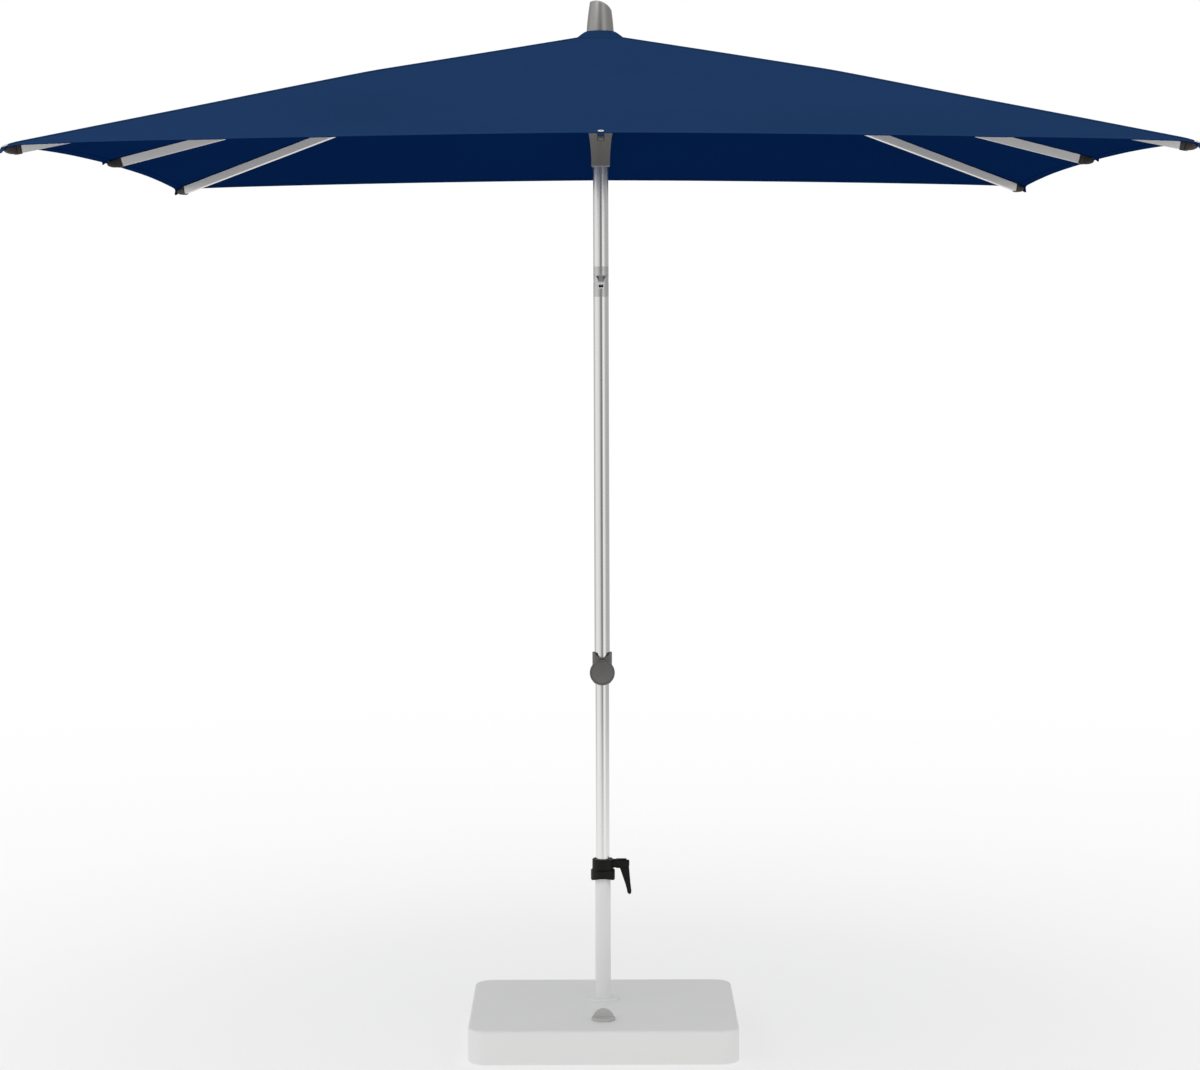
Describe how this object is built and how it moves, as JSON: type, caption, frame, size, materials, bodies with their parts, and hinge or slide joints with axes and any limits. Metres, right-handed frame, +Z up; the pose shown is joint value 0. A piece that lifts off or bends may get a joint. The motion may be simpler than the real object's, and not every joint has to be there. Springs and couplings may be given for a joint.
{
  "type": "patio umbrella with base",
  "caption": "Square centre-pole garden umbrella: navy cloth on folding aluminium ribs, telescopic tilting pole with clamp knob, finial, and a weighted white slab base with stem and lever clamp.",
  "frame": {"origin": "on the ground, at the pole's axis", "axes": "+Z up along the pole, -Y towards the front where the clamp knob is, +X to the right where the base clamp's lever is"},
  "size_m": [2.4036, 2.4036, 2.519],
  "materials": {
    "canopy_cloth": "matte",
    "rib_aluminium": "satin",
    "pole_aluminium": "satin",
    "tilt_alloy": "matte",
    "grey_plastic": "satin",
    "rib_end_plastic": "satin",
    "finial_plastic": "satin",
    "steel": "satin",
    "base_plastic": "satin",
    "ballast": "matte",
    "foot_rubber": "matte",
    "white_steel": "satin",
    "black_plastic": "satin"
  },
  "bodies": {
    "base": {"base_shell": "base_plastic", "base_ballast": "ballast", "base_feet": "foot_rubber", "stem_flange": "white_steel", "stem_tube": "white_steel", "base_clamp": "black_plastic"},
    "plug": {"filler_plug": "base_plastic"},
    "lever": {"clamp_lever": "black_plastic", "clamp_screw": "steel"},
    "lower": {"lower_pole": "pole_aluminium"},
    "upper": {"upper_pole": "pole_aluminium", "telescope_collar": "grey_plastic", "tilt_fork": "tilt_alloy", "tilt_pin": "steel"},
    "knob": {"telescope_knob": "grey_plastic", "knob_screw": "steel"},
    "top": {"tilt_tongue": "tilt_alloy", "mast_tube": "pole_aluminium", "crown": "grey_plastic", "crown_pins": "steel", "canopy_cap": "canopy_cloth", "finial": "finial_plastic"},
    "runner": {"runner": "grey_plastic", "runner_pins": "steel"},
    "rib_right": {"rib_right": "rib_aluminium", "rib_end_right": "rib_end_plastic", "gore_right": "canopy_cloth"},
    "strut_right": {"strut_right": "rib_aluminium"},
    "rib_back": {"rib_back": "rib_aluminium", "rib_end_back": "rib_end_plastic", "gore_back": "canopy_cloth"},
    "strut_back": {"strut_back": "rib_aluminium"},
    "rib_left": {"rib_left": "rib_aluminium", "rib_end_left": "rib_end_plastic", "gore_left": "canopy_cloth"},
    "strut_left": {"strut_left": "rib_aluminium"},
    "rib_front": {"rib_front": "rib_aluminium", "rib_end_front": "rib_end_plastic", "gore_front": "canopy_cloth"},
    "strut_front": {"strut_front": "rib_aluminium"},
    "rib_back_right": {"rib_back_right": "rib_aluminium", "rib_end_back_right": "rib_end_plastic", "gore_back_right": "canopy_cloth", "bracket_back_right": "steel"},
    "strut_back_right": {"strut_back_right": "rib_aluminium"},
    "rib_back_left": {"rib_back_left": "rib_aluminium", "rib_end_back_left": "rib_end_plastic", "gore_back_left": "canopy_cloth", "bracket_back_left": "steel"},
    "strut_back_left": {"strut_back_left": "rib_aluminium"},
    "rib_front_left": {"rib_front_left": "rib_aluminium", "rib_end_front_left": "rib_end_plastic", "gore_front_left": "canopy_cloth", "bracket_front_left": "steel"},
    "strut_front_left": {"strut_front_left": "rib_aluminium"},
    "rib_front_right": {"rib_front_right": "rib_aluminium", "rib_end_front_right": "rib_end_plastic", "gore_front_right": "canopy_cloth", "bracket_front_right": "steel"},
    "strut_front_right": {"strut_front_right": "rib_aluminium"}
  },
  "joints": [
    {"name": "filler_plug_turn", "type": "hinge", "parent": "base", "child": "plug", "pos_m": [0, -0.205, 0.084], "axis": [0, 0, 1], "range_deg": [0, 90]},
    {"name": "clamp_lever_turn", "type": "hinge", "parent": "base", "child": "lever", "pos_m": [0.06, 0, 0.423], "axis": [1, 0, 0], "range_deg": [0, 150]},
    {"name": "pole_turn", "type": "hinge", "parent": "base", "child": "lower", "pos_m": [0, 0, 0.1], "axis": [0, 0, 1], "continuous": true},
    {"name": "telescope", "type": "slide", "parent": "lower", "child": "upper", "axis": [0, 0, 1], "range_m": [-0.25, 0.05]},
    {"name": "telescope_knob_turn", "type": "hinge", "parent": "upper", "child": "knob", "pos_m": [0, -0.05, 0.901], "axis": [0, -1, 0], "range_deg": [0, 270]},
    {"name": "tilt", "type": "hinge", "parent": "upper", "child": "top", "pos_m": [0, 0, 1.851], "axis": [1, 0, 0], "range_deg": [0, 35]},
    {"name": "fold", "type": "hinge", "parent": "top", "child": "rib_front", "pos_m": [0, -0.04, 2.422], "axis": [-1, 0, 0], "range_deg": [-74.2, 0], "deforming": ["gore_front"]},
    {"name": "rib_right_fold", "type": "hinge", "parent": "top", "child": "rib_right", "pos_m": [0.04, 0, 2.422], "axis": [0, -1, 0], "range_deg": [-74.2, 0], "deforming": ["gore_right"]},
    {"name": "rib_back_fold", "type": "hinge", "parent": "top", "child": "rib_back", "pos_m": [0, 0.04, 2.422], "axis": [1, 0, 0], "range_deg": [-74.2, 0], "deforming": ["gore_back"]},
    {"name": "rib_left_fold", "type": "hinge", "parent": "top", "child": "rib_left", "pos_m": [-0.04, 0, 2.422], "axis": [0, 1, 0], "range_deg": [-74.2, 0], "deforming": ["gore_left"]},
    {"name": "rib_back_right_fold", "type": "hinge", "parent": "top", "child": "rib_back_right", "pos_m": [0.02828, 0.02828, 2.422], "axis": [0.7071, -0.7071, 0], "range_deg": [-74.2, 0], "deforming": ["gore_back_right"]},
    {"name": "rib_back_left_fold", "type": "hinge", "parent": "top", "child": "rib_back_left", "pos_m": [-0.02828, 0.02828, 2.422], "axis": [0.7071, 0.7071, 0], "range_deg": [-74.2, 0], "deforming": ["gore_back_left"]},
    {"name": "rib_front_left_fold", "type": "hinge", "parent": "top", "child": "rib_front_left", "pos_m": [-0.02828, -0.02828, 2.422], "axis": [-0.7071, 0.7071, 0], "range_deg": [-74.2, 0], "deforming": ["gore_front_left"]},
    {"name": "rib_front_right_fold", "type": "hinge", "parent": "top", "child": "rib_front_right", "pos_m": [0.02828, -0.02828, 2.422], "axis": [-0.7071, -0.7071, 0], "range_deg": [-74.2, 0], "deforming": ["gore_front_right"]},
    {"name": "strut_front_fold", "type": "hinge", "parent": "rib_front", "child": "strut_front", "pos_m": [0, -0.44, 2.3195], "axis": [-1, 0, 0], "range_deg": [0, 148.4]},
    {"name": "strut_right_fold", "type": "hinge", "parent": "rib_right", "child": "strut_right", "pos_m": [0.44, 0, 2.3195], "axis": [0, -1, 0], "range_deg": [0, 148.4]},
    {"name": "strut_back_fold", "type": "hinge", "parent": "rib_back", "child": "strut_back", "pos_m": [0, 0.44, 2.3195], "axis": [1, 0, 0], "range_deg": [0, 148.4]},
    {"name": "strut_left_fold", "type": "hinge", "parent": "rib_left", "child": "strut_left", "pos_m": [-0.44, 0, 2.3195], "axis": [0, 1, 0], "range_deg": [0, 148.4]},
    {"name": "strut_back_right_fold", "type": "hinge", "parent": "rib_back_right", "child": "strut_back_right", "pos_m": [0.31113, 0.31113, 2.3195], "axis": [0.7071, -0.7071, 0], "range_deg": [0, 148.4]},
    {"name": "strut_back_left_fold", "type": "hinge", "parent": "rib_back_left", "child": "strut_back_left", "pos_m": [-0.31113, 0.31113, 2.3195], "axis": [0.7071, 0.7071, 0], "range_deg": [0, 148.4]},
    {"name": "strut_front_left_fold", "type": "hinge", "parent": "rib_front_left", "child": "strut_front_left", "pos_m": [-0.31113, -0.31113, 2.3195], "axis": [-0.7071, 0.7071, 0], "range_deg": [0, 148.4]},
    {"name": "strut_front_right_fold", "type": "hinge", "parent": "rib_front_right", "child": "strut_front_right", "pos_m": [0.31113, -0.31113, 2.3195], "axis": [-0.7071, -0.7071, 0], "range_deg": [0, 148.4]},
    {"name": "runner_level", "type": "hinge", "parent": "strut_front", "child": "runner", "pos_m": [0, -0.04, 2.217], "axis": [-1, 0, 0], "range_deg": [-74.2, 0]}
  ],
  "couplings": [
    {"joint": "rib_right_fold", "follows": "fold", "ratio": 1},
    {"joint": "rib_back_fold", "follows": "fold", "ratio": 1},
    {"joint": "rib_left_fold", "follows": "fold", "ratio": 1},
    {"joint": "rib_back_right_fold", "follows": "fold", "ratio": 1},
    {"joint": "rib_back_left_fold", "follows": "fold", "ratio": 1},
    {"joint": "rib_front_left_fold", "follows": "fold", "ratio": 1},
    {"joint": "rib_front_right_fold", "follows": "fold", "ratio": 1},
    {"joint": "strut_front_fold", "follows": "fold", "ratio": -2},
    {"joint": "strut_right_fold", "follows": "fold", "ratio": -2},
    {"joint": "strut_back_fold", "follows": "fold", "ratio": -2},
    {"joint": "strut_left_fold", "follows": "fold", "ratio": -2},
    {"joint": "strut_back_right_fold", "follows": "fold", "ratio": -2},
    {"joint": "strut_back_left_fold", "follows": "fold", "ratio": -2},
    {"joint": "strut_front_left_fold", "follows": "fold", "ratio": -2},
    {"joint": "strut_front_right_fold", "follows": "fold", "ratio": -2},
    {"joint": "runner_level", "follows": "fold", "ratio": 1}
  ]
}
